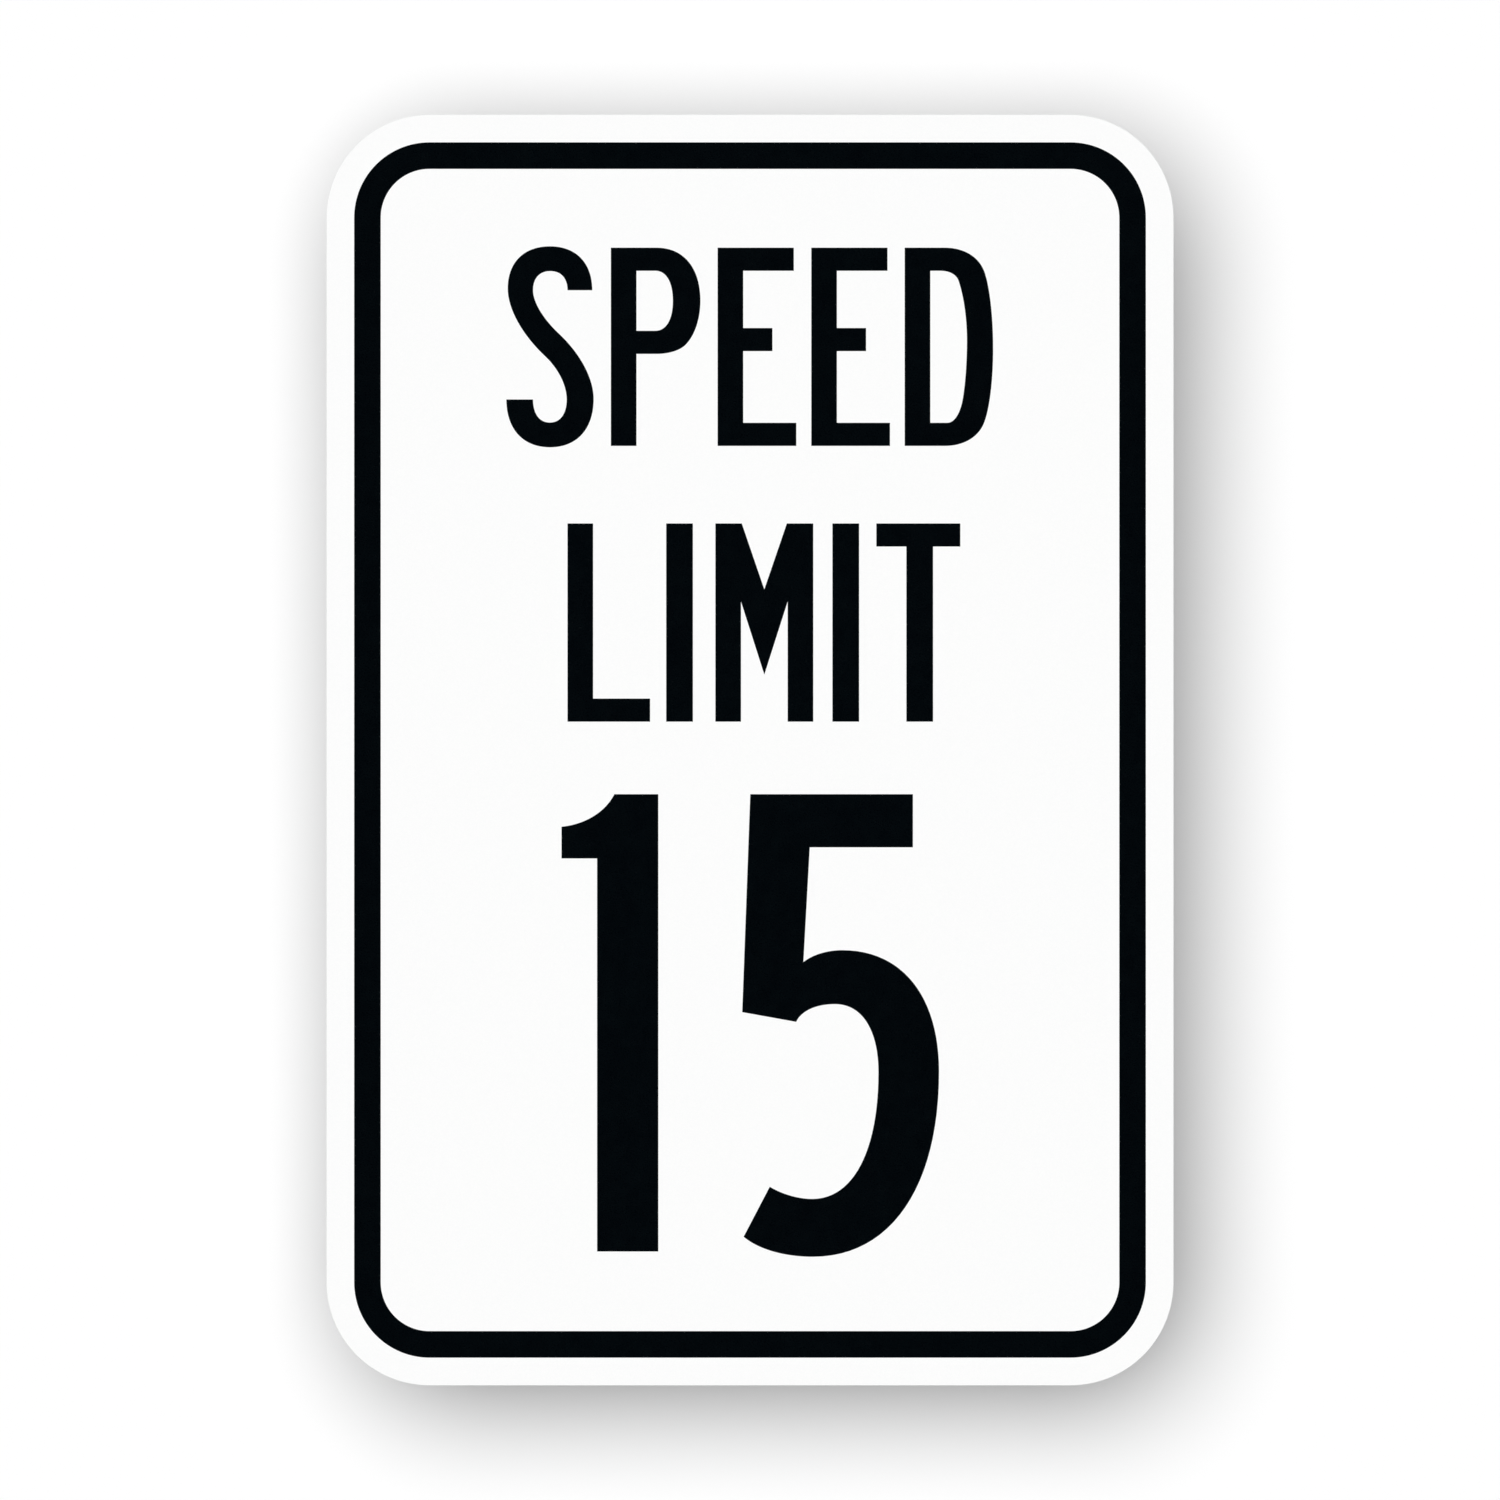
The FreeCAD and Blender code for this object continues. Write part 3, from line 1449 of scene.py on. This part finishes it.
@dataclass
class ReflectiveFilm(Part):
    """White film on the sheet's front, trimmed flush with it."""

    layer: Layer = field(default_factory=lambda: Layer.measured(PackedNode.FILM))
    rim: Rim = Rim(at_back=False, radius=0.05 * MM, steps=2)

    def build(self) -> list[bpy.types.Object]:
        """Make the film.

        Returns:
            The piece.
        """
        finish = BeadedFilm(self.layer.outline)
        film = self.cut_sheet("reflective_film", self.layer, self.rim, finish)
        hand_over(film, finish.slot, PackedNode.FILM)
        return [film]


@dataclass
class BlackPrint(Part):
    """Border and legend, printed on the film in one layer of ink."""

    WORDS = Strokes(height=71.3, upright=9.2, level=8.3, overshoot=0.5)
    NUMBER = Strokes(height=164.5, upright=22.0, level=19.1, overshoot=1.9)

    layer: Layer = field(default_factory=lambda: Layer.measured(PackedNode.BORDER))
    band: float = field(default_factory=lambda: band_width(PackedNode.BORDER))
    round_steps: int = 24
    lines: tuple[LegendLine, ...] = (
        LegendLine(
            piece="legend_upper_words",
            letters=(LetterS(), LetterP(), LetterE(), LetterE(), LetterD()),
            gaps=(6.2, 6.2, 5.4, 5.3),
            strokes=WORDS,
            foot=109.4,
            shift=-0.1,
        ),
        LegendLine(
            piece="legend_lower_words",
            letters=(LetterL(), LetterI(), LetterM(), LetterI(), LetterT()),
            gaps=(5.8, 8.1, 6.9, 6.2),
            strokes=WORDS,
            foot=10.2,
            shift=5.0,
        ),
        LegendLine(
            piece="legend_number",
            letters=(FigureOne(), FigureFive()),
            gaps=(30.2,),
            strokes=NUMBER,
            foot=-180.4,
            shift=0.1,
        ),
    )

    def build(self) -> list[bpy.types.Object]:
        """Make the border, then each line of the legend.

        Returns:
            The pieces.
        """
        name, finish = "printed_border", ScreenInk()
        ink = {**self.layer.inputs(), "Material": finish.material(self.effects)}
        sizes = {**self.layer.outline.inputs(), "Band Width": self.band, **ink}
        border = settle(grow(name, bpy.data.meshes.new(name), self.forms.band, sizes))
        hand_over(border, finish.slot, PackedNode.BORDER)
        pieces = [border]
        for line in self.lines:
            words = settle(grow(line.piece, line.draw(self.round_steps), self.forms.letters, ink))
            hand_over(words, finish.slot)
            pieces.append(words)
        return pieces


# Studio.


def grey(level: float) -> Colour:
    """Grey of a level, where 1 is white."""
    return (level, level, level, 1.0)


@dataclass(frozen=True)
class Lamp:
    """Round, even lamp, far away.

    shines is the way that its light goes. level is how bright it makes a white
    surface that faces it, where 1 is white. spread is its width in degrees, as
    seen from the sign.
    """

    name: str
    shines: tuple[float, float, float]
    level: float
    spread: float
    casts_shadow: bool = True
    seen_in_gloss: bool = True

    def hang(self) -> None:
        """Add the lamp to the scene."""
        light = bpy.data.lights.new(self.name, "SUN")
        light.energy = math.pi * self.level
        light.angle = math.radians(self.spread)
        light.use_shadow = self.casts_shadow
        lamp = bpy.data.objects.new(self.name, light)
        lamp.rotation_euler = Vector(self.shines).to_track_quat("-Z", "Y").to_euler()
        lamp.visible_glossy = self.seen_in_gloss
        bpy.context.scene.collection.objects.link(lamp)


@dataclass
class Studio:
    """White wall and floor, soft lamps, and a camera straight in front.

    front is how far the sign stands forward of its back face, and view_width is
    how much the picture takes in there from side to side. Gloss shows a sky whose
    light grows from sky_low to sky_high as its direction rises from sky_from to
    sky_to, and a card behind the camera, whose light is card. The card starts at
    card_rim and hides the sky from card_middle on, which are the cosines of those
    angles from straight behind the camera.
    """

    LENS = 300.0
    SENSOR = 36.0

    front: float
    view_width: float = 539.6 * MM
    wall_gap: float = 60 * MM
    wall_size: float = 3.0
    wall_paint: float = 0.90
    wall_glow: float = 0.034
    floor_drop: float = 360 * MM
    floor_glow: float = 0.78
    ambient: float = 0.04
    sky_low: float = 0.40
    sky_high: float = 0.9
    sky_from: float = -0.5
    sky_to: float = 0.9
    card: float = 0.01
    card_rim: float = math.cos(math.radians(62))
    card_middle: float = math.cos(math.radians(35))
    lamps: tuple[Lamp, ...] = (
        Lamp("key", shines=(8.56, 60.0, -8.69), level=1.02, spread=59.3, seen_in_gloss=False),
        Lamp(
            "front_fill",
            shines=(0.0, 1.0, 0.0),
            level=0.035,
            spread=5.0,
            casts_shadow=False,
            seen_in_gloss=False,
        ),
        Lamp("back_high", shines=(-0.5, -1.0, -0.8), level=0.35, spread=40.0),
        Lamp("back_low", shines=(0.8, -1.0, 0.2), level=0.12, spread=60.0),
    )

    def build(self) -> None:
        """Set up the studio."""
        bpy.context.scene.view_settings.view_transform = "Standard"
        self._set_camera()
        self._paint_world()
        for lamp in self.lamps:
            lamp.hang()
        half = self.wall_size / 2
        square = [(-half, -half), (half, -half), (half, half), (-half, half)]
        self._stand("wall", [(x, self.wall_gap, z) for x, z in square], self.wall_glow)
        self._stand("floor", [(x, y, -self.floor_drop) for x, y in square], self.floor_glow)

    def _set_camera(self) -> None:
        """Put the camera where the sign's front fills as much of the picture as in the photo."""
        camera = bpy.data.objects.new("camera", bpy.data.cameras.new("camera"))
        camera.data.lens = self.LENS
        camera.data.sensor_width = self.SENSOR
        camera.location = (0.0, -self.front - self.view_width * self.LENS / self.SENSOR, 0.0)
        camera.rotation_euler = UPRIGHT
        bpy.context.scene.collection.objects.link(camera)
        bpy.context.scene.camera = camera

    def _paint_world(self) -> None:
        """Surround the sign with white, and with a dark card behind the camera.

        Only gloss shows the card and the fall of light towards the floor.
        """
        world = bpy.data.worlds.new("studio")
        bpy.context.scene.world = world
        world.use_nodes = True
        graph = Graph(world.node_tree)
        rays = graph.add("ShaderNodeLightPath").outputs
        towards = graph.axes(graph.add("ShaderNodeTexCoord").outputs["Generated"])
        rise = graph.ramp(towards["Z"], self.sky_from, self.sky_to, smooth=True)
        sky = graph.ramp(rise, 0.0, 1.0, self.sky_low, self.sky_high)
        forward = graph.math("MULTIPLY", towards["Y"], -1.0)
        carded = graph.ramp(forward, self.card_rim, self.card_middle, smooth=True)
        gloss = graph.ramp(carded, 0.0, 1.0, sky, self.card)
        shiny = graph.math("MAXIMUM", rays["Is Glossy Ray"], rays["Is Transmission Ray"])
        unseen = graph.ramp(shiny, 0.0, 1.0, self.ambient, gloss)
        strength = graph.ramp(rays["Is Camera Ray"], 0.0, 1.0, unseen, 1.0)
        light = {"Color": grey(1.0), "Strength": strength}
        graph.fill(graph.tree.nodes["Background"], light)

    def _stand(self, name: str, corners: Sequence[tuple[float, float, float]], glow: float) -> None:
        """Add a backdrop that only the camera sees, and only from its front.

        Args:
            name: its name.
            corners: its corners, counter-clockwise as seen from its front.
            glow: light that it gives off by itself, so that it renders white.
        """
        mesh = bpy.data.meshes.new(name)
        mesh.from_pydata(corners, [], [tuple(range(len(corners)))])
        mesh.materials.append(self._backdrop(name, glow))
        backdrop = bpy.data.objects.new(name, mesh)
        for ray in ("diffuse", "glossy", "transmission", "shadow"):
            setattr(backdrop, f"visible_{ray}", False)
        bpy.context.scene.collection.objects.link(backdrop)
        backdrop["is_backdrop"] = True

    def _backdrop(self, name: str, glow: float) -> bpy.types.Material:
        """Matt white that glows a little, and is clear from behind.

        Args:
            name: the material's name.
            glow: light that it gives off by itself.

        Returns:
            The material.
        """
        material = bpy.data.materials.new(name)
        material.use_nodes = True
        material.cycles.emission_sampling = "NONE"
        graph = Graph(material.node_tree)
        graph.tree.nodes.remove(graph.tree.nodes["Principled BSDF"])
        paint = graph.add("ShaderNodeBsdfDiffuse", {"Color": grey(self.wall_paint)})
        light = graph.add("ShaderNodeEmission", {"Strength": glow})
        front = graph.add("ShaderNodeAddShader", {0: paint.outputs[0], 1: light.outputs[0]})
        behind = graph.add("ShaderNodeNewGeometry").outputs["Backfacing"]
        clear = graph.add("ShaderNodeBsdfTransparent")
        sides = {0: behind, 1: front.outputs[0], 2: clear.outputs[0]}
        surface = graph.add("ShaderNodeMixShader", sides)
        graph.fill(graph.tree.nodes["Material Output"], {"Surface": surface.outputs[0]})
        return material


def main() -> None:
    """Build the sign from its back to its front, then the studio."""
    logging.basicConfig(level=logging.INFO, format="%(name)s: %(message)s")
    forms, effects = Forms(), Effects()
    for kind in (AluminiumSheet, ReflectiveFilm, BlackPrint):
        pieces = kind(forms, effects).build()
        log.info("%s is done, pieces: %d", kind.__name__, len(pieces))
    Studio(front=-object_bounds()[0].y).build()


if __name__ == "__main__":
    main()
